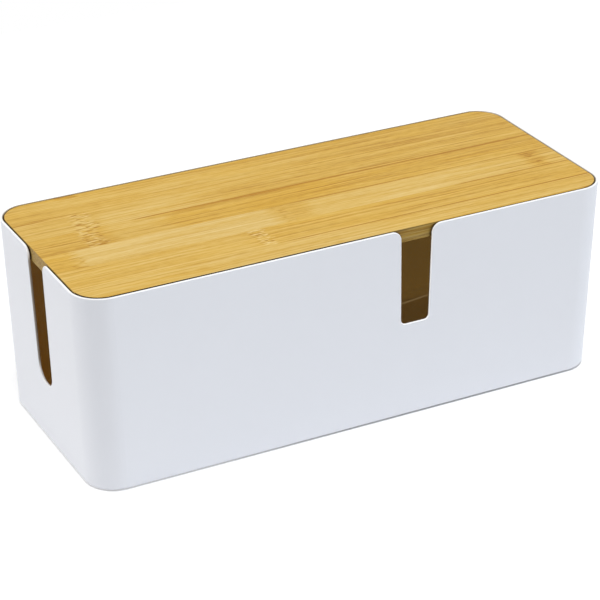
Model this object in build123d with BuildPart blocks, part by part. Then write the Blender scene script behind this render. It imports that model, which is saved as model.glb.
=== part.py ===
"""Cable management box: a drafted, moulded box with two cable slots, a glued bamboo lid that
rests inside the rim on moulded ribs, and four rubber feet.

Millimetres, +Z up. The origin is under the middle of the box, on the surface it stands on.
X runs along the box, and -Y is the front, with the off-centre slot. The other slot is in the
middle of the left end, -X.
"""

from build123d import *
import math
import os

os.makedirs("parts", exist_ok=True)

# ---- Driving dimensions -------------------------------------------------------------------

# Moulded box
box_length = 320.0
box_width = 129.5
shell_height = 114.3
wall = 1.4
floor_thickness = 2.0
corner_radius = 17.5
end_draft_angle = 1.8
side_draft_angle = 0.25
base_edge_radius = 0.8
inner_base_radius = 2.5
rim_edge_chamfer = 0.4

# Cable slots, measured down from the rim
slot_mouth_radius = 5.6
front_slot_x = 35.0
front_slot_width = 19.3
front_slot_depth = 57.25
front_slot_radius = 3.0
end_slot_width = 20.8
end_slot_depth = 77.6
end_slot_radius = 8.0
slot_side_draft = 0.95

# Ribs that carry the lid
rib_thickness = 1.6
rib_depth = 3.0
side_rib_spacing = 75.0
side_rib_count = 3
end_rib_spacing = 64.0
end_rib_count = 2

# Lid
lid_thickness = 8.3
lid_gap = 0.85
lid_top_radius = 0.4
lid_bottom_chamfer = 0.5
strip_width = 21.1
front_strip_width = 15.6

# Rubber feet
foot_diameter = 12.0
foot_stand = 1.0
foot_recess = 0.6
foot_recess_clearance = 0.2
foot_edge_chamfer = 0.4
foot_inset = 24.0

# ---- Heights and outlines that follow -----------------------------------------------------

base_z = foot_stand
floor_z = base_z + floor_thickness
rim_z = base_z + shell_height
lid_seat_z = rim_z - lid_thickness
cut_margin = 2.0
cut_depth = 2 * cut_margin + wall + shell_height * math.tan(math.radians(end_draft_angle))


def half_length(z):
    """Half the outside length at height z: the ends lean in towards the floor."""
    return box_length / 2 - (rim_z - z) * math.tan(math.radians(end_draft_angle))


def half_width(z):
    """Half the outside width at height z."""
    return box_width / 2 - (rim_z - z) * math.tan(math.radians(side_draft_angle))


def drafted_block(inset, bottom_z, top_z, bottom_radius):
    """Block with the box's drafted sides, moved in by inset, with round corners."""
    rim_plane = Plane.XY.offset(rim_z)
    with BuildPart() as block:
        with BuildSketch(Plane.XY.offset(bottom_z)):
            Rectangle(box_length - 2 * inset, box_width - 2 * inset)
        extrude(amount=top_z - bottom_z)
        draft(block.faces().filter_by(Axis.X), rim_plane, -end_draft_angle)
        draft(block.faces().filter_by(Axis.Y), rim_plane, -side_draft_angle)
        leaning_edges = block.edges().group_by(Axis.Z)[1]
        fillet(leaning_edges, radius=corner_radius - inset)
        bottom_edges = block.faces().sort_by(Axis.Z)[0].edges()
        fillet(bottom_edges, radius=bottom_radius)
    return block.part


def slot_profile(centre, width, depth, bottom_radius):
    """Sketch of a cable slot from above the rim down: flared mouth, drafted sides, round bottom."""
    bottom_z = rim_z - depth
    top_half = width / 2
    bottom_half = top_half - depth * math.tan(math.radians(slot_side_draft))
    flare_half = top_half + slot_mouth_radius + cut_margin
    left_side = [
        (centre - flare_half, rim_z + cut_margin),
        (centre - flare_half, rim_z),
        (centre - top_half, rim_z),
        (centre - bottom_half, bottom_z),
    ]
    right_side = [(2 * centre - x, z) for x, z in reversed(left_side)]
    with BuildSketch() as profile:
        Polygon(*left_side, *right_side, align=None)
        bottom_corners = profile.vertices().group_by(Axis.Y)[0]
        fillet(bottom_corners, radius=bottom_radius)
        mouth_corners = profile.vertices().group_by(Axis.Y)[-2].sort_by(Axis.X)[1:3]
        fillet(mouth_corners, radius=slot_mouth_radius)
    return profile.sketch


def rib_profile(half_span):
    """Upright section of a lid rib: buried in the wall outside, parallel to it inside."""
    outer_top = half_span(lid_seat_z) - wall / 2
    outer_bottom = half_span(floor_z) - wall / 2
    reach = wall / 2 + rib_depth
    with BuildSketch() as profile:
        Polygon(
            (outer_top, lid_seat_z),
            (outer_top - reach, lid_seat_z),
            (outer_bottom - reach, floor_z - floor_thickness / 2),
            (outer_bottom, floor_z - floor_thickness / 2),
            align=None,
        )
    return profile.sketch


foot_x = half_length(base_z) - foot_inset
foot_y = half_width(base_z) - foot_inset

# ---- Moulded box --------------------------------------------------------------------------

cavity = drafted_block(wall, floor_z, rim_z + cut_margin, inner_base_radius)

with BuildPart() as open_box:
    add(drafted_block(0, base_z, rim_z, base_edge_radius))
    add(cavity, mode=Mode.SUBTRACT)

with BuildPart() as slot_cuts:
    # Front slot
    with BuildSketch(Plane.XZ.offset(half_width(rim_z) + cut_margin)):
        add(slot_profile(front_slot_x, front_slot_width, front_slot_depth, front_slot_radius))
    extrude(amount=-cut_depth)

    # Left end slot
    with BuildSketch(Plane.YZ.offset(-half_length(rim_z) - cut_margin)):
        add(slot_profile(0, end_slot_width, end_slot_depth, end_slot_radius))
    extrude(amount=cut_depth)

with BuildPart() as box_shell:
    add(open_box.part)
    add(slot_cuts.part, mode=Mode.SUBTRACT)

    # Broken edges round the rim and the slots, on both faces of the wall
    broken_edges = new_edges(open_box.part, slot_cuts.part, combined=box_shell.part)
    rim_faces = box_shell.faces().filter_by(Axis.Z).group_by(Axis.Z)[-1]
    for rim_face in rim_faces:
        broken_edges += rim_face.edges().sort_by(SortBy.LENGTH)[2:]
    chamfer(broken_edges, length=rim_edge_chamfer)

    # Recesses for the feet
    with BuildSketch(Plane.XY.offset(base_z)):
        with GridLocations(2 * foot_x, 2 * foot_y, 2, 2):
            Circle(foot_diameter / 2 + foot_recess_clearance)
    extrude(amount=foot_recess, mode=Mode.SUBTRACT)

    # Lid ribs
    for side in (-1, 1):
        for place in GridLocations(side_rib_spacing, 0, side_rib_count, 1).locations:
            rib_plane = Plane(origin=(place.position.X, 0, 0), x_dir=(0, side, 0), z_dir=(side, 0, 0))
            with BuildSketch(rib_plane):
                add(rib_profile(half_width))
            extrude(amount=rib_thickness / 2, both=True)
        for place in GridLocations(0, end_rib_spacing, 1, end_rib_count).locations:
            rib_plane = Plane(origin=(0, place.position.Y, 0), x_dir=(side, 0, 0), z_dir=(0, -side, 0))
            with BuildSketch(rib_plane):
                add(rib_profile(half_length))
            extrude(amount=rib_thickness / 2, both=True)

box_shell.part.label = "box_shell"
export_step(box_shell.part, "parts/box_shell.step")

# ---- Bamboo lid ---------------------------------------------------------------------------

lid_length = box_length - 2 * (wall + lid_gap)
lid_width = box_width - 2 * (wall + lid_gap)

with BuildPart() as lid_board:
    with BuildSketch(Plane.XY.offset(lid_seat_z)):
        RectangleRounded(lid_length, lid_width, corner_radius - wall - lid_gap)
    extrude(amount=lid_thickness)
    top_edges = lid_board.faces().sort_by(Axis.Z)[-1].edges()
    fillet(top_edges, radius=lid_top_radius)
    bottom_edges = lid_board.faces().sort_by(Axis.Z)[0].edges()
    chamfer(bottom_edges, length=lid_bottom_chamfer)

strip_count = math.ceil((lid_width - front_strip_width) / strip_width) + 1
for number in range(1, strip_count + 1):
    front_y = -lid_width / 2 + front_strip_width + (number - 2) * strip_width
    with BuildPart() as lid_strip:
        add(lid_board.part)
        with Locations((0, front_y + strip_width / 2, lid_seat_z + lid_thickness / 2)):
            Box(lid_length, strip_width, lid_thickness, mode=Mode.INTERSECT)
    lid_strip.part.label = f"lid_strip_{number}"
    export_step(lid_strip.part, f"parts/lid_strip_{number}.step")

# ---- Rubber feet --------------------------------------------------------------------------

foot_height = foot_stand + foot_recess
for row, foot_row_y in (("front", -foot_y), ("rear", foot_y)):
    for column, foot_column_x in (("left", -foot_x), ("right", foot_x)):
        with BuildPart() as foot:
            with BuildSketch():
                with Locations((foot_column_x, foot_row_y)):
                    Circle(foot_diameter / 2)
            extrude(amount=foot_height)
            tread_edge = foot.edges().sort_by(Axis.Z)[0]
            chamfer(tread_edge, length=foot_edge_chamfer)
        foot.part.label = f"foot_{row}_{column}"
        export_step(foot.part, f"parts/foot_{row}_{column}.step")
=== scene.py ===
"""Cable management box: the finishes, floor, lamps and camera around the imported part.

Metres, +Z up, in the part's own frame: X runs along the box and -Y is the front.
"""

import math
import bpy
from mathutils import Matrix, Vector


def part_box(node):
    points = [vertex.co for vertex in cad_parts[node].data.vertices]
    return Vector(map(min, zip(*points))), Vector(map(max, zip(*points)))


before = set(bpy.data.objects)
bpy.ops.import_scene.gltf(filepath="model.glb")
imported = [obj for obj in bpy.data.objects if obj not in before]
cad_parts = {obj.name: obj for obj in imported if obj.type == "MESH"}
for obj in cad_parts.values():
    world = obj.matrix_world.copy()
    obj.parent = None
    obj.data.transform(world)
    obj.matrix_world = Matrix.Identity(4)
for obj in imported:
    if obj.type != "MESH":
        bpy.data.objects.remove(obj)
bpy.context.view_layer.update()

MM = 0.001
BLACK = (0.0, 0.0, 0.0)
WHITE = (1.0, 1.0, 1.0)

# ---- Sizes read from the frame ------------------------------------------------------------

SHELL_LOW, SHELL_HIGH = (Vector(corner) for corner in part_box("box_shell"))
FEET = sorted(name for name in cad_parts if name.startswith("foot_"))
RIM_Z = SHELL_HIGH.z
HALF_LENGTH = SHELL_HIGH.x
HALF_WIDTH = SHELL_HIGH.y

# Mould sizes that the finish of the inside follows
CORNER_RADIUS = 17.5 * MM
WALL = 1.4 * MM
FLOOR_THICKNESS = 2 * MM
END_DRAFT = math.tan(math.radians(1.8))
SIDE_DRAFT = math.tan(math.radians(0.25))


# ---- Shader expressions -------------------------------------------------------------------

# The colour sockets of a Mix node come after its sockets for numbers and vectors
MIX_FIRST, MIX_SECOND, MIX_RESULT = 6, 7, 2
OPENNESS_SAMPLES = 8


class Value:
    """A shader socket that joins in Python expressions, each operator adding its Math node."""

    def __init__(self, tree, socket):
        self.tree = tree
        self.socket = socket

    def maths(self, operation, *others, clamp=False):
        settings = {"operation": operation, "use_clamp": clamp}
        return self.tree.node("ShaderNodeMath", settings, dict(enumerate((self, *others))))

    def __add__(self, other):
        return self.maths("ADD", other)

    def __sub__(self, other):
        return self.maths("SUBTRACT", other)

    def __mul__(self, other):
        return self.maths("MULTIPLY", other)

    def __pow__(self, other):
        return self.maths("POWER", other)

    def __neg__(self):
        return self.maths("MULTIPLY", -1.0)

    def __abs__(self):
        return self.maths("ABSOLUTE")

    __radd__ = __add__
    __rmul__ = __mul__

    def __rsub__(self, other):
        return (-self).maths("ADD", other)

    def larger(self, other):
        return self.maths("MAXIMUM", other)

    def smaller(self, other):
        return self.maths("MINIMUM", other)

    def clamped(self):
        return self.maths("ADD", 0.0, clamp=True)

    def step(self, low, high):
        """0 at low, 1 at high, with a soft start and end."""
        settings = {"interpolation_type": "SMOOTHSTEP"}
        ends = {"Value": self, "From Min": low, "From Max": high}
        return self.tree.node("ShaderNodeMapRange", settings, ends)

    def bell(self, centre, half_width):
        """1 at centre, falling to 0 half_width away on both sides."""
        return 1 - abs(self - centre).step(0.0, half_width)


class NodeTree:
    """The nodes of a material or a sky, written as expressions."""

    def __init__(self, owner):
        owner.use_nodes = True
        self.tree = owner.node_tree
        self.tree.nodes.clear()

    def node(self, kind, settings=None, sockets=None, out=0):
        """Adds a node: its settings first, then its sockets, and gives one of its outputs."""
        node = self.tree.nodes.new(kind)
        for key, setting in (settings or {}).items():
            setattr(node, key, setting)
        for key, content in (sockets or {}).items():
            if isinstance(content, Value):
                self.tree.links.new(content.socket, node.inputs[key])
            else:
                node.inputs[key].default_value = content
        return None if out is None else Value(self, node.outputs[out])

    def seen_directly(self):
        """1 for what the camera sees itself or through a reflection, else 0."""
        camera_ray, glossy_ray, transmission_ray = (
            self.node("ShaderNodeLightPath", out=ray)
            for ray in ("Is Camera Ray", "Is Glossy Ray", "Is Transmission Ray")
        )
        return camera_ray.larger(glossy_ray).larger(transmission_ray)


class Finish(NodeTree):
    """A material whose patterns lie on the piece, in metres."""

    def __init__(self, name):
        self.material = bpy.data.materials.new(name)
        super().__init__(self.material)
        self.place = self.node("ShaderNodeTexCoord", out="Object")
        self.x, self.y, self.z = (
            self.node("ShaderNodeSeparateXYZ", sockets={"Vector": self.place}, out=axis)
            for axis in ("X", "Y", "Z")
        )

    def joined(self, x, y, z):
        return self.node("ShaderNodeCombineXYZ", sockets={"X": x, "Y": y, "Z": z})

    def scaled(self, vector, factors):
        settings = {"operation": "MULTIPLY"}
        return self.node("ShaderNodeVectorMath", settings, {0: vector, 1: factors})

    def noise(self, vector, cell, detail=2.0, seed=0.0):
        """Noise from 0 to 1 with the given cell size along each axis, in metres."""
        moved = self.scaled(vector, tuple(1 / size for size in cell))
        sockets = {"Vector": moved, "W": seed, "Scale": 1.0, "Detail": detail}
        return self.node("ShaderNodeTexNoise", {"noise_dimensions": "4D"}, sockets)

    def openness(self, reach):
        """1 where nothing stands within reach of the surface, 0 where it is shut in all round."""
        settings = {"samples": OPENNESS_SAMPLES}
        return self.node("ShaderNodeAmbientOcclusion", settings, {"Distance": reach}, out="AO")

    def mixed(self, factor, first, second):
        """Colour between first, at factor 0, and second, at factor 1."""
        sockets = {"Factor": factor, MIX_FIRST: colour(first), MIX_SECOND: colour(second)}
        return self.node("ShaderNodeMix", {"data_type": "RGBA"}, sockets, out=MIX_RESULT)

    def bump(self, height, distance, strength):
        sockets = {"Height": height, "Distance": distance, "Strength": strength}
        return self.node("ShaderNodeBump", sockets=sockets, out="Normal")

    def surface(self, **sockets):
        """Ends the material in a Principled shader with these sockets."""
        named = {key.replace("_", " "): content for key, content in sockets.items()}
        shader = self.node("ShaderNodeBsdfPrincipled", sockets=named)
        self.node("ShaderNodeOutputMaterial", sockets={"Surface": shader}, out=None)
        return self.material


def colour(content):
    """A colour socket takes a link as it is, and three numbers with an alpha of 1."""
    return content if isinstance(content, Value) else (*content, 1.0)


def grey(level):
    """The colour without a tint at this level, 1 being white."""
    return (level, level, level)


def wear(node, material):
    """Gives a CAD node its finish."""
    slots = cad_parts[node].data.materials
    slots.clear()
    slots.append(material)


# ---- White moulded plastic ----------------------------------------------------------------

PLASTIC_WHITE = (0.815, 0.835, 0.89)
PLASTIC_MOTTLED = tuple(0.985 * level for level in PLASTIC_WHITE)
# Painted highlight: the rim and cut faces brighter than the same plastic elsewhere
PLASTIC_RIM_HIGHLIGHT = (0.97, 0.975, 0.98)
# Painted shade in the gap round the closed lid, along the sides and at the rear
PLASTIC_GAP_SHADE = (0.35, 0.25, 0.12)
PLASTIC_REAR_GAP_SHADE = (0.27, 0.18, 0.055)
# Painted shade on the end slots' cut faces
PLASTIC_END_SLOT_SHADE = (0.36, 0.32, 0.27)
# Painted shade on the front slot's inner edges
PLASTIC_SLOT_EDGE_SHADE = (0.035, 0.022, 0.008)
# Painted warm shade of the inside under the closed lid, not the plastic's own colour
PLASTIC_SHUT_INSIDE_SHADE = (0.80, 0.65, 0.33)

PLASTIC_GRAIN_SIZE = (0.35 * MM,) * 3
MOTTLE_SIZE = (24 * MM,) * 3
SCUFF_SIZE = (9 * MM, 9 * MM, 1.2 * MM)
SCUFF_LEVELS = (0.62, 0.78)

# Each pair that follows is where a zone begins and where it is fully reached.
# Depths below the outer skin:
PAST_SKIN = (0.03 * MM, 0.15 * MM)
SLOT_EDGE_SHADE_DEPTH = (0.75 * MM, 1.0 * MM)
GAP_SHADE_DEPTH = (WALL - 0.30 * MM, WALL - 0.18 * MM)
PAST_WALL = (WALL - 0.08 * MM, WALL - 0.02 * MM)

# Heights:
INSIDE_HEIGHT = (SHELL_LOW.z + 0.6 * FLOOR_THICKNESS, SHELL_LOW.z + 0.9 * FLOOR_THICKNESS)
INNER_WALL_HEIGHT = (6 * MM, 9 * MM)
END_SLOT_SHADE_HEIGHT = (40 * MM, 50 * MM)
MOUTH_HEIGHT = (RIM_Z - 9 * MM, RIM_Z - 2 * MM)
GAP_SHADE_HEIGHT = (RIM_Z - 3 * MM, RIM_Z - 0.5 * MM)
RIM_HEIGHT = (RIM_Z - 0.8 * MM, RIM_Z - 0.4 * MM)

# Distances from the middle, along the box and across it:
END_WALL_X = (HALF_LENGTH - 16 * MM, HALF_LENGTH - 15 * MM)
END_GAP_X = (150 * MM, 155 * MM)
RIGHT_GAP_X = (60 * MM, 100 * MM)
MIDDLE_LIGHT_X = (-110 * MM, -50 * MM)
REAR_Y = (40 * MM, 50 * MM)
INNER_WALL_Y = (54 * MM, 56 * MM)

# The painted shade on the rim's inner edge is wider at the rear, and weaker at the ends and front
# right
REAR_GAP_EXTRA = 0.13 * MM
RIGHT_END_GAP_LOSS = 0.4
LEFT_END_GAP_LOSS = 0.2
FRONT_RIGHT_GAP_LOSS = 0.25

# The closed lid is felt within this reach; the painted shade fades out over this range of
# openness
GAP_REACH = 3 * MM
GAP_OPENNESS = (0.82, 0.97)
INSIDE_REACH = 400 * MM
INSIDE_OPENNESS = (0.02, 0.09)

# Painted warm glow under the closed lid, and painted light on the cut edges
WALL_GLOW = (0.039, 0.0260, 0.0085)
LEFT_WALL_GLOW = (0.028, 0.0110, 0.0010)
FLOOR_GLOW = (0.017, 0.0130, 0.0060)
STREAK_GLOW = (0.115, 0.088, 0.045)
# Painted light on the front slot's cut faces, and a painted highlight along the rim
FRONT_SLOT_GLOW = grey(0.16)
RIM_GLOW = grey(0.07)
END_RIM_GLOW_LOSS = 0.8

# The painted streak of light on the inner floor runs a little askew, behind the middle
STREAK_START_X = (86 * MM, 92 * MM)
STREAK_END_X = (113 * MM, 119 * MM)
STREAK_Y = 37 * MM
STREAK_SLOPE = 0.147
STREAK_HALF_WIDTH = 1.4 * MM


def depth_below_skin(x, y, z):
    """How far a point lies inside the box's drafted, round-cornered outer skin."""
    drop = RIM_Z - z
    past_x = abs(x) + drop * END_DRAFT - (HALF_LENGTH - CORNER_RADIUS)
    past_y = abs(y) + drop * SIDE_DRAFT - (HALF_WIDTH - CORNER_RADIUS)
    round_part = (past_x.larger(0.0) ** 2 + past_y.larger(0.0) ** 2) ** 0.5
    flat_part = past_x.larger(past_y).smaller(0.0)
    return CORNER_RADIUS - round_part - flat_part


class WhitePlastic(Finish):
    """The box's plastic; with the lid on, painted warm shade and glow inside and painted gap
    shade.
    """

    def gap_shade(self, depth, at_rear):
        """Painted shade: 1 on the inner edge of the rim, beside the closed lid."""
        shade = (depth + REAR_GAP_EXTRA * at_rear).step(*GAP_SHADE_DEPTH)
        shade = shade * self.z.step(*GAP_SHADE_HEIGHT)
        right_end_loss = RIGHT_END_GAP_LOSS * self.x.step(*END_GAP_X)
        left_end_loss = LEFT_END_GAP_LOSS * (-self.x).step(*END_GAP_X)
        shade = shade * (1 - right_end_loss - left_end_loss)
        shade = shade * (1 - FRONT_RIGHT_GAP_LOSS * self.x.step(*RIGHT_GAP_X) * (1 - at_rear))
        return shade * (1 - self.openness(GAP_REACH).step(*GAP_OPENNESS))

    def inner_light(self):
        """Painted glow for the warm light the lid throws down inside, and a painted streak of it
        on the floor.
        """
        above_floor = self.z.step(*INNER_WALL_HEIGHT)
        on_wall = abs(self.y).step(*INNER_WALL_Y).larger(above_floor)
        askew_y = self.y - STREAK_SLOPE * self.x
        streak = askew_y.bell(STREAK_Y, STREAK_HALF_WIDTH) * (1 - above_floor)
        streak = streak * self.x.step(*STREAK_START_X) * (1 - self.x.step(*STREAK_END_X))
        wall_glow = self.mixed(self.x.step(*MIDDLE_LIGHT_X), LEFT_WALL_GLOW, WALL_GLOW)
        glow = self.mixed(on_wall, FLOOR_GLOW, wall_glow)
        return self.mixed(streak, glow, STREAK_GLOW)


def white_plastic():
    finish = WhitePlastic("white plastic")
    grain = finish.noise(finish.place, PLASTIC_GRAIN_SIZE, detail=3.0)
    mottle = finish.noise(finish.place, MOTTLE_SIZE, detail=3.0, seed=2.0)
    scuffs = finish.noise(finish.place, SCUFF_SIZE, detail=5.0, seed=5.0)

    # Where the inside, the rim and the slots' cut faces are
    depth = depth_below_skin(finish.x, finish.y, finish.z)
    above_base = finish.z.step(*INSIDE_HEIGHT)
    past_wall = depth.step(*PAST_WALL)
    cut_face = depth.step(*PAST_SKIN) * (1 - past_wall) * above_base
    rim_face = cut_face * finish.z.step(*RIM_HEIGHT)
    slot_face = cut_face * (1 - finish.z.step(*MOUTH_HEIGHT))
    at_end = abs(finish.x).step(*END_WALL_X)
    shaded_end_slot_face = slot_face * at_end * finish.z.step(*END_SLOT_SHADE_HEIGHT)
    front_slot_face = slot_face * (1 - at_end)
    shaded_slot_edge = front_slot_face * depth.step(*SLOT_EDGE_SHADE_DEPTH)
    at_rear = finish.y.step(*REAR_Y)
    gap_shade = finish.gap_shade(depth, at_rear)
    lid_shut = 1 - finish.openness(INSIDE_REACH).step(*INSIDE_OPENNESS)
    painted_shut_inside = past_wall * above_base * lid_shut

    base = finish.mixed(mottle, PLASTIC_MOTTLED, PLASTIC_WHITE)
    # Painted warm shade inside, only while the lid is shut
    base = finish.mixed(painted_shut_inside, base, PLASTIC_SHUT_INSIDE_SHADE)
    # Painted highlight: the rim and cut faces brighter
    base = finish.mixed(cut_face, base, PLASTIC_RIM_HIGHLIGHT)
    # Painted shade on the end slots' cut faces
    base = finish.mixed(shaded_end_slot_face, base, PLASTIC_END_SLOT_SHADE)
    # Painted shade on the front slot's inner edges
    base = finish.mixed(shaded_slot_edge, base, PLASTIC_SLOT_EDGE_SHADE)
    # Painted shade in the gap round the closed lid
    base = finish.mixed(gap_shade, base, finish.mixed(at_rear, PLASTIC_GAP_SHADE, PLASTIC_REAR_GAP_SHADE))

    # Painted glow inside under the closed lid
    glow = finish.mixed(painted_shut_inside, BLACK, finish.inner_light())
    # Painted light on the front slot's cut faces and a painted highlight along the rim
    glow = finish.mixed(front_slot_face * (1 - shaded_slot_edge), glow, FRONT_SLOT_GLOW)
    lit_rim = rim_face * (1 - gap_shade) * (1 - END_RIM_GLOW_LOSS * at_end)
    glow = finish.mixed(lit_rim, glow, RIM_GLOW)
    return finish.surface(
        Base_Color=base,
        Roughness=0.40 + 0.06 * grain + 0.08 * scuffs.step(*SCUFF_LEVELS),
        Emission_Color=glow,
        Emission_Strength=1.0,
        Normal=finish.bump(grain, 0.012 * MM, strength=0.5),
        IOR=1.46,
        Specular_IOR_Level=0.4,
    )


# ---- Bamboo -------------------------------------------------------------------------------

BAMBOO_DEEP = (0.435, 0.20, 0.016)
BAMBOO_MID = (0.672, 0.414, 0.073)
BAMBOO_PALE = (0.798, 0.566, 0.190)
BAMBOO_SCAR = (0.89, 0.71, 0.32)
# The sides' tone: partly their own darker colour, partly painted shade of the gap round the lid
SIDE_SHADE = (0.54, 0.54, 0.50)
END_SHADE = (0.60, 0.66, 1.08)
SIDE_LINE_SHADE = (0.68, 0.62, 0.55)
# Painted shade in the gap round the closed lid
GAP_SHADE = (0.03, 0.015, 0.004)

# What an amber tint of 1 takes from green and from blue
AMBER_GREEN_LOSS = 0.05
AMBER_BLUE_LOSS = 0.35

# Grain drawn out along the fibres: its length and width in mm, its detail and its first seed
GRAIN = {
    "bands": (190, 4.2, 1.0, 10.0),
    "streaks": (80, 1.3, 2.0, 20.0),
    "hairs": (110, 0.8, 1.0, 30.0),
    "fibres": (22, 0.35, 3.0, 40.0),
    "flecks": (6.5, 0.9, 2.0, 45.0),
    "amber": (45, 6, 1.0, 48.0),
    "side lines": (30, 0.9, 2.0, 70.0),
}

# How far each kind of grain moves the tone or the tint
TONE_SHARES = {"bands": 0.50, "streaks": 1.08, "fibres": 0.62, "flecks": 0.60}
HAIR_SHARE = 0.28
HAIR_LEVELS = (0.58, 0.70)
AMBER_SHARE = 1.6
SIDE_LINE_LEVELS = (0.48, 0.66)

# Each strip from the front: its tone and amber tint at the left end, then the places along it,
# in mm, where they shift: (place, half the length of the shift, change of tone, of amber)
STRIPS = {
    1: (0.57, 0.0, [(-75, 15, 0.07, -0.5), (15, 15, -0.03, 0.4), (70, 20, -0.05, 0.0)]),
    2: (0.58, 0.0, [(-110, 10, 0.02, 0.0), (-50, 8, -0.08, 0.4), (35, 15, -0.05, -0.2)]),
    3: (0.50, 0.6, [
        (-141, 4, 0.18, -1.3),
        (-26, 6, -0.20, 0.8),
        (-4, 5, 0.15, -0.4),
        (112, 20, -0.04, 0.1),
        (135, 4, -0.18, 0.5),
        (147, 3, 0.16, -0.4),
    ]),
    4: (0.46, 0.1, [
        (-113, 5, 0.13, -0.5),
        (-80, 12, -0.10, 0.95),
        (-30, 12, -0.08, 0.4),
        (22, 15, 0.05, -0.6),
    ]),
    5: (0.54, -0.3, [(-112, 5, 0.10, 0.0), (-50, 25, -0.12, 0.3), (70, 30, -0.05, 0.0)]),
    6: (0.48, 0.0, [(-135, 12, 0.07, 0.0), (10, 40, -0.08, 0.0)]),
    7: (0.48, 0.6, [(-125, 2, -0.22, 0.5), (-113, 2, 0.22, -0.5)]),
}

# Knuckles of each strip: place along it and half its length in mm, strength of its pale scars
# and of its dark strokes
KNUCKLES = {
    2: [(-43.5, 6, 0.65, 0.8)],
    3: [(-142, 5, 0.1, 0.35), (141, 5, 0.0, 0.4), (-20, 5, 0.1, 0.25)],
    4: [(-124.5, 8, 0.5, 0.7)],
    5: [(-121.5, 8, 0.5, 0.7)],
    7: [(-118, 7, 0.0, 0.5)],
}

# The middle share of a knuckle where its strokes are at full strength, and their size
KNUCKLE_FULL_SHARE = 0.45
STROKE_SIZE = (6 * MM, 1 * MM, 1 * MM)
SCAR_LEVELS = (0.53, 0.64)
DARK_STROKE_LEVELS = (0.34, 0.46)

# Glue joints behind each strip: where the line is dark, from and to in mm, how dark it is
# there, and how dark elsewhere
GLUE_JOINTS = {
    1: (-30, 162, 0.64, 0.18),
    2: (84, 162, 0.42, 0.06),
    3: (-6, 162, 0.42, 0.06),
    4: (-94, 162, 0.95, 0.08),
    5: (-160, -140, 0.55, 0.14),
    6: (0, 0, 0.0, 0.02),
}
GLUE_FADE = (0.30 * MM, 0.6 * MM)

# Dark veins of each strip, with a pale line in front of them: from and to along it and distance
# from its front edge in mm, strength
VEINS = {
    1: [(40, 100, 12.5, 0.16)],
    2: [(-32, 80, 13.3, 0.30)],
    4: [(-95, 5, 18.1, 0.20), (0, 60, 12.0, 0.18), (10, 150, 20.5, 0.30)],
    5: [(-60, 45, 9.5, 0.14), (95, 150, 8.0, 0.14)],
    6: [(10, 75, 9.0, 0.22), (-150, -120, 1.5, 0.2)],
}
VEIN_HALF_WIDTH = 0.7 * MM
PALE_LINE_OFFSET = 1.5 * MM
PALE_LINE_SHARE = 0.6

# Veins and dark glue lines fade over this length on each side of their ends
LINE_END_FADE = 6 * MM

# How far fibres wander across a strip, and how ragged shifts and knuckles are
WANDER_SIZE = (60 * MM, 14 * MM, 14 * MM)
WANDER = 2.4 * MM
RAGGED_SIZE = (14 * MM, 3 * MM, 3 * MM)
RAGGED_SHIFT = 16 * MM
RAGGED_KNUCKLE = 9 * MM
CRINKLE = 3 * MM

# The strips' sides, as depths below the lid's top, the painted shade on the arris, and the
# stretch of painted gap shade at the front left
SIDE_DEPTH = (0.08 * MM, 0.35 * MM)
ARRIS_DEPTH = 0.35 * MM
ARRIS_HALF_WIDTH = 0.55 * MM
ARRIS_SHADE = 0.45
END_ARRIS_SHADE_LOSS = 0.35
FRONT_SHADE = 0.9
FRONT_SHADE_START = (0.01 * MM, 0.10 * MM)
FRONT_SHADE_END = (0.7 * MM, 1.0 * MM)
FRONT_SHADE_END_X = (-10 * MM, 70 * MM)
FRONT_SHADE_END_Y = (0.0, 10 * MM)
BEHIND_WALL_SHADE = 0.85
BEHIND_WALL_DEPTH = (0.8 * MM, 1.2 * MM)
BEHIND_WALL_CLOSENESS = (0.1, 0.6)

# How far in from a strip's end its end face begins, and is fully reached
END_FACE_START, END_FACE_FULL = 0.5 * MM, 0.2 * MM


def stretch(x, start, end):
    """1 between two places along a strip, in mm, fading at both."""
    begun = x.step(start * MM - LINE_END_FADE, start * MM + LINE_END_FADE)
    ended = x.step(end * MM - LINE_END_FADE, end * MM + LINE_END_FADE)
    return begun * (1 - ended)


def glue_line(x, across, joint):
    """Darkening beside one long edge of a strip, across metres away from that edge."""
    start, end, strong, faint = joint
    near = 1 - across.step(*GLUE_FADE)
    return near * (faint + (strong - faint) * stretch(x, start, end))


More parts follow.
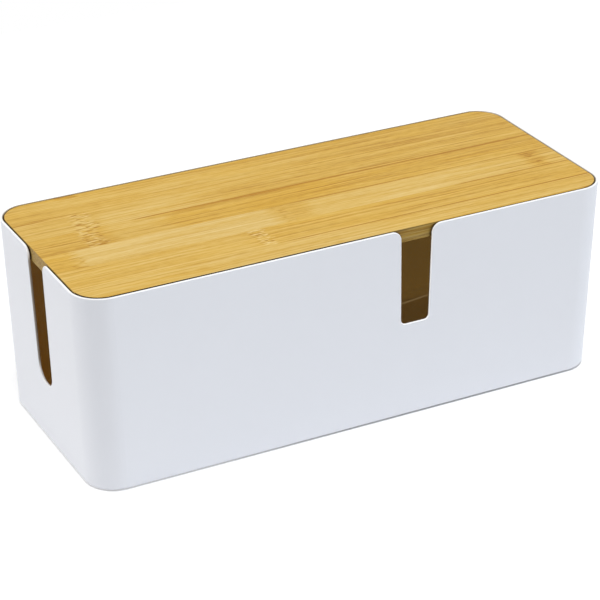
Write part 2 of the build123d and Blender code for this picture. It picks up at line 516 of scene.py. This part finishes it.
class BambooStrip(Finish):
    """One glued strip: fibres along X, shifts of tone, knuckles across it and glued edges."""

    def __init__(self, number):
        super().__init__(f"bamboo strip {number}")
        self.number = number
        self.low, self.high = (Vector(corner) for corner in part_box(f"lid_strip_{number}"))
        wander = self.noise(self.place, WANDER_SIZE, seed=number)
        self.fibre_y = self.y + (wander - 0.5) * WANDER
        along_fibres = self.joined(self.x, self.fibre_y, self.z)
        self.grain = {}
        for kind, (length, width, detail, first_seed) in GRAIN.items():
            size = (length * MM, width * MM, width * MM)
            self.grain[kind] = self.noise(along_fibres, size, detail, first_seed + number)
        self.ragged = self.noise(self.place, RAGGED_SIZE, seed=50.0) - 0.5

    def tone_and_amber(self):
        """The wood's tone, from 0 deep to 1 pale, and its amber tint."""
        tone, amber, shifts = STRIPS[self.number]
        for kind, share in TONE_SHARES.items():
            tone = tone + share * (self.grain[kind] - 0.5)
        tone = tone - HAIR_SHARE * self.grain["hairs"].step(*HAIR_LEVELS)
        amber = amber + AMBER_SHARE * (self.grain["amber"] - 0.5)
        ragged_x = self.x + self.ragged * RAGGED_SHIFT
        for centre, half_length, tone_change, amber_change in shifts:
            past = ragged_x.step((centre - half_length) * MM, (centre + half_length) * MM)
            tone = tone + tone_change * past
            amber = amber + amber_change * past
        return tone, amber

    def knuckles(self):
        """Pale scars and dark strokes, in bands of short crinkled strokes."""
        scars, dark_strokes = 0.0, 0.0
        for centre, half_length, pale, dark in KNUCKLES.get(self.number, []):
            crinkled = self.joined(self.x, self.y + self.ragged * CRINKLE, self.z)
            strokes = self.noise(crinkled, STROKE_SIZE, detail=1.0, seed=60.0 + self.number)
            off_centre = abs(self.x + self.ragged * RAGGED_KNUCKLE - centre * MM)
            near = 1 - off_centre.step(KNUCKLE_FULL_SHARE * half_length * MM, half_length * MM)
            scars = scars + near * strokes.step(*SCAR_LEVELS) * pale
            dark_strokes = dark_strokes + near * (1 - strokes.step(*DARK_STROKE_LEVELS)) * dark
        return scars, dark_strokes

    def veins(self):
        """Darkening by the veins, less their pale lines."""
        veins = 0.0
        for start, end, across, strength in VEINS.get(self.number, []):
            from_front = self.fibre_y - self.low.y
            vein = from_front.bell(across * MM, VEIN_HALF_WIDTH)
            pale_line = from_front.bell(across * MM - PALE_LINE_OFFSET, VEIN_HALF_WIDTH)
            line = stretch(self.x, start, end) * strength
            veins = veins + line * (vein - PALE_LINE_SHARE * pale_line)
        return veins

    def glue(self):
        """Darkening by the glue at the strip's rear and front edges."""
        glue = 0.0
        if self.number in GLUE_JOINTS:
            glue = glue + glue_line(self.x, self.high.y - self.y, GLUE_JOINTS[self.number])
        if self.number - 1 in GLUE_JOINTS:
            glue = glue + glue_line(self.x, self.y - self.low.y, GLUE_JOINTS[self.number - 1])
        return glue

    def top_colour(self):
        tone, amber = self.tone_and_amber()
        scars, dark_strokes = self.knuckles()
        glue = self.glue()
        tone = tone - dark_strokes - self.veins() - glue
        amber = amber + glue
        deep_to_mid = self.mixed((tone * 2).clamped(), BAMBOO_DEEP, BAMBOO_MID)
        top = self.mixed((tone * 2 - 1).clamped(), deep_to_mid, BAMBOO_PALE)
        tint = self.joined(1.0, 1 - AMBER_GREEN_LOSS * amber, 1 - AMBER_BLUE_LOSS * amber)
        return self.mixed(scars, self.scaled(top, tint), BAMBOO_SCAR)

    def with_sides(self, top):
        """The top's colour, and the sides': their own darker tone and painted shade of the gap
        round the lid.
        """
        below_top = RIM_Z - self.z
        end_face = abs(self.x).step(self.high.x - END_FACE_START, self.high.x - END_FACE_FULL)
        front_shade = below_top.step(*FRONT_SHADE_START) * (1 - below_top.step(*FRONT_SHADE_END))
        front_shade = front_shade * (1 - self.x.step(*FRONT_SHADE_END_X))
        front_shade = front_shade * (1 - self.y.step(*FRONT_SHADE_END_Y)) * (1 - end_face)
        on_side = below_top.step(*SIDE_DEPTH).larger(front_shade)
        arris = below_top.bell(ARRIS_DEPTH, ARRIS_HALF_WIDTH)
        behind_wall = (1 - self.openness(GAP_REACH)).step(*BEHIND_WALL_CLOSENESS)
        behind_wall = behind_wall * below_top.step(*BEHIND_WALL_DEPTH)

        side = self.scaled(top, self.mixed(end_face, SIDE_SHADE, END_SHADE))
        lines = self.grain["side lines"].step(*SIDE_LINE_LEVELS)
        side = self.mixed(lines, side, self.scaled(side, SIDE_LINE_SHADE))
        # Painted shade on the arris, at the front left, and behind the wall while the lid is shut
        arris_shade = arris * (ARRIS_SHADE - END_ARRIS_SHADE_LOSS * end_face)
        side = self.mixed(arris_shade.larger(FRONT_SHADE * front_shade), side, GAP_SHADE)
        side = self.mixed(BEHIND_WALL_SHADE * behind_wall, side, GAP_SHADE)
        return self.mixed(on_side, top, side)


def bamboo(number):
    strip = BambooStrip(number)
    relief = strip.grain["streaks"] + 0.5 * strip.grain["fibres"]
    return strip.surface(
        Base_Color=strip.with_sides(strip.top_colour()),
        Roughness=0.48 + 0.10 * strip.grain["fibres"],
        Normal=strip.bump(relief, 0.05 * MM, strength=0.5),
        IOR=1.5,
        Specular_IOR_Level=0.22,
    )


# ---- Rubber -------------------------------------------------------------------------------

RUBBER_GREY = (0.11, 0.11, 0.115)
RUBBER_DUSTY = (0.30, 0.29, 0.28)
RUBBER_GRAIN_SIZE = (0.25 * MM,) * 3
DUST_SIZE = (2.5 * MM,) * 3
DUST_SHARE = 0.35
DUST_LEVELS = (0.45, 0.8)


def rubber():
    finish = Finish("rubber")
    grain = finish.noise(finish.place, RUBBER_GRAIN_SIZE, detail=3.0)
    dust = finish.noise(finish.place, DUST_SIZE, detail=4.0, seed=3.0)
    return finish.surface(
        Base_Color=finish.mixed(DUST_SHARE * dust.step(*DUST_LEVELS), RUBBER_GREY, RUBBER_DUSTY),
        Roughness=0.78 + 0.1 * dust,
        Normal=finish.bump(grain, 0.03 * MM, strength=0.6),
    )


# ---- Floor, lamps and camera --------------------------------------------------------------

FLOOR_HALF = 0.62
FLOOR_WHITE = grey(0.90)
FLOOR_LIFT = grey(0.28)
SKY_STRENGTH = 0.44
SKY_SEEN = 1.0

# Under the front of the box the floor stays dark: how sharp the edge of that is, where it
# begins along the box, and where it ends behind the front
UNDER_EDGE = (0.0, 0.2 * MM)
UNDER_X = (-170 * MM, 60 * MM)
UNDER_END_Y = (-50 * MM, -45 * MM)


def floor_finish():
    """White paper, lifted towards white for the camera apart from under the box's front."""
    finish = Finish("floor")
    under_box = depth_below_skin(finish.x, finish.y, SHELL_LOW.z).step(*UNDER_EDGE)
    under_box = under_box * finish.x.step(*UNDER_X) * (1 - finish.y.step(*UNDER_END_Y))
    lifted = finish.seen_directly() * (1 - under_box)
    return finish.surface(
        Base_Color=colour(FLOOR_WHITE),
        Roughness=0.9,
        Specular_IOR_Level=0.0,
        Emission_Color=finish.mixed(lifted, BLACK, FLOOR_LIFT),
        Emission_Strength=1.0,
    )


def make_floor():
    mesh = bpy.data.meshes.new("floor")
    signs = ((-1, -1), (1, -1), (1, 1), (-1, 1))
    corners = [(sign_x * FLOOR_HALF, sign_y * FLOOR_HALF, 0.0) for sign_x, sign_y in signs]
    mesh.from_pydata(corners, [], [(0, 1, 2, 3)])
    mesh.materials.append(floor_finish())
    floor = bpy.data.objects.new("floor", mesh)
    bpy.context.scene.collection.objects.link(floor)


def light_sky():
    """An even sky that lights the box softly and is white where the camera sees it."""
    world = bpy.data.worlds.new("studio")
    bpy.context.scene.world = world
    sky = NodeTree(world)
    strength = SKY_STRENGTH + (SKY_SEEN - SKY_STRENGTH) * sky.seen_directly()
    sockets = {"Color": colour(WHITE), "Strength": strength}
    background = sky.node("ShaderNodeBackground", sockets=sockets)
    sky.node("ShaderNodeOutputWorld", sockets={"Surface": background}, out=None)


def softbox(name, place, size, share, tint=WHITE):
    """A square soft lamp at place, facing the box, that lights a face turned to it to this share
    of white."""
    box_middle = Vector((0.0, 0.0, 0.06))
    to_box = box_middle - Vector(place)
    lamp = bpy.data.lights.new(name, "AREA")
    lamp.size = size
    lamp.color = tint
    # A white face at distance d from a lamp of power P is lit to P / (pi * d) squared
    lamp.energy = share * math.pi**2 * to_box.length_squared
    holder = bpy.data.objects.new(name, lamp)
    holder.location = place
    holder.rotation_euler = to_box.to_track_quat("-Z", "Y").to_euler()
    bpy.context.scene.collection.objects.link(holder)


def place_camera():
    """A long lens from the front left and above, turned to the box's middle."""
    azimuth, elevation, roll = (math.radians(angle) for angle in (-27.294, 27.035, -0.291))
    distance = 1266.8 * MM
    target = Vector((-2.86, 0.0, 51.5)) * MM
    focal_length = 134.08
    back = Vector((
        math.sin(azimuth) * math.cos(elevation),
        -math.cos(azimuth) * math.cos(elevation),
        math.sin(elevation),
    ))
    level_right = Vector((0, 0, 1)).cross(back).normalized()
    level_up = back.cross(level_right)
    right = math.cos(roll) * level_right + math.sin(roll) * level_up
    up = back.cross(right)
    turn = Matrix((right, up, back)).transposed().to_4x4()
    camera = bpy.data.cameras.new("camera")
    camera.lens = focal_length
    camera.clip_end = 20.0
    holder = bpy.data.objects.new("camera", camera)
    holder.matrix_world = Matrix.Translation(target + back * distance) @ turn
    bpy.context.scene.collection.objects.link(holder)
    bpy.context.scene.camera = holder


wear("box_shell", white_plastic())
for number in STRIPS:
    wear(f"lid_strip_{number}", bamboo(number))
rubber_finish = rubber()
for foot in FEET:
    wear(foot, rubber_finish)

make_floor()
light_sky()
softbox("overhead softbox", (-0.4, -1.1, 3.4), size=2.0, share=0.49)
softbox("rear left softbox", (-3.0, 2.4, 1.3), size=1.2, share=0.27, tint=(1.0, 0.97, 0.93))
softbox("right softbox", (3.6, -1.3, 1.3), size=1.2, share=0.27, tint=(0.84, 0.92, 1.0))
place_camera()

scene = bpy.context.scene
scene.view_settings.view_transform = "Standard"
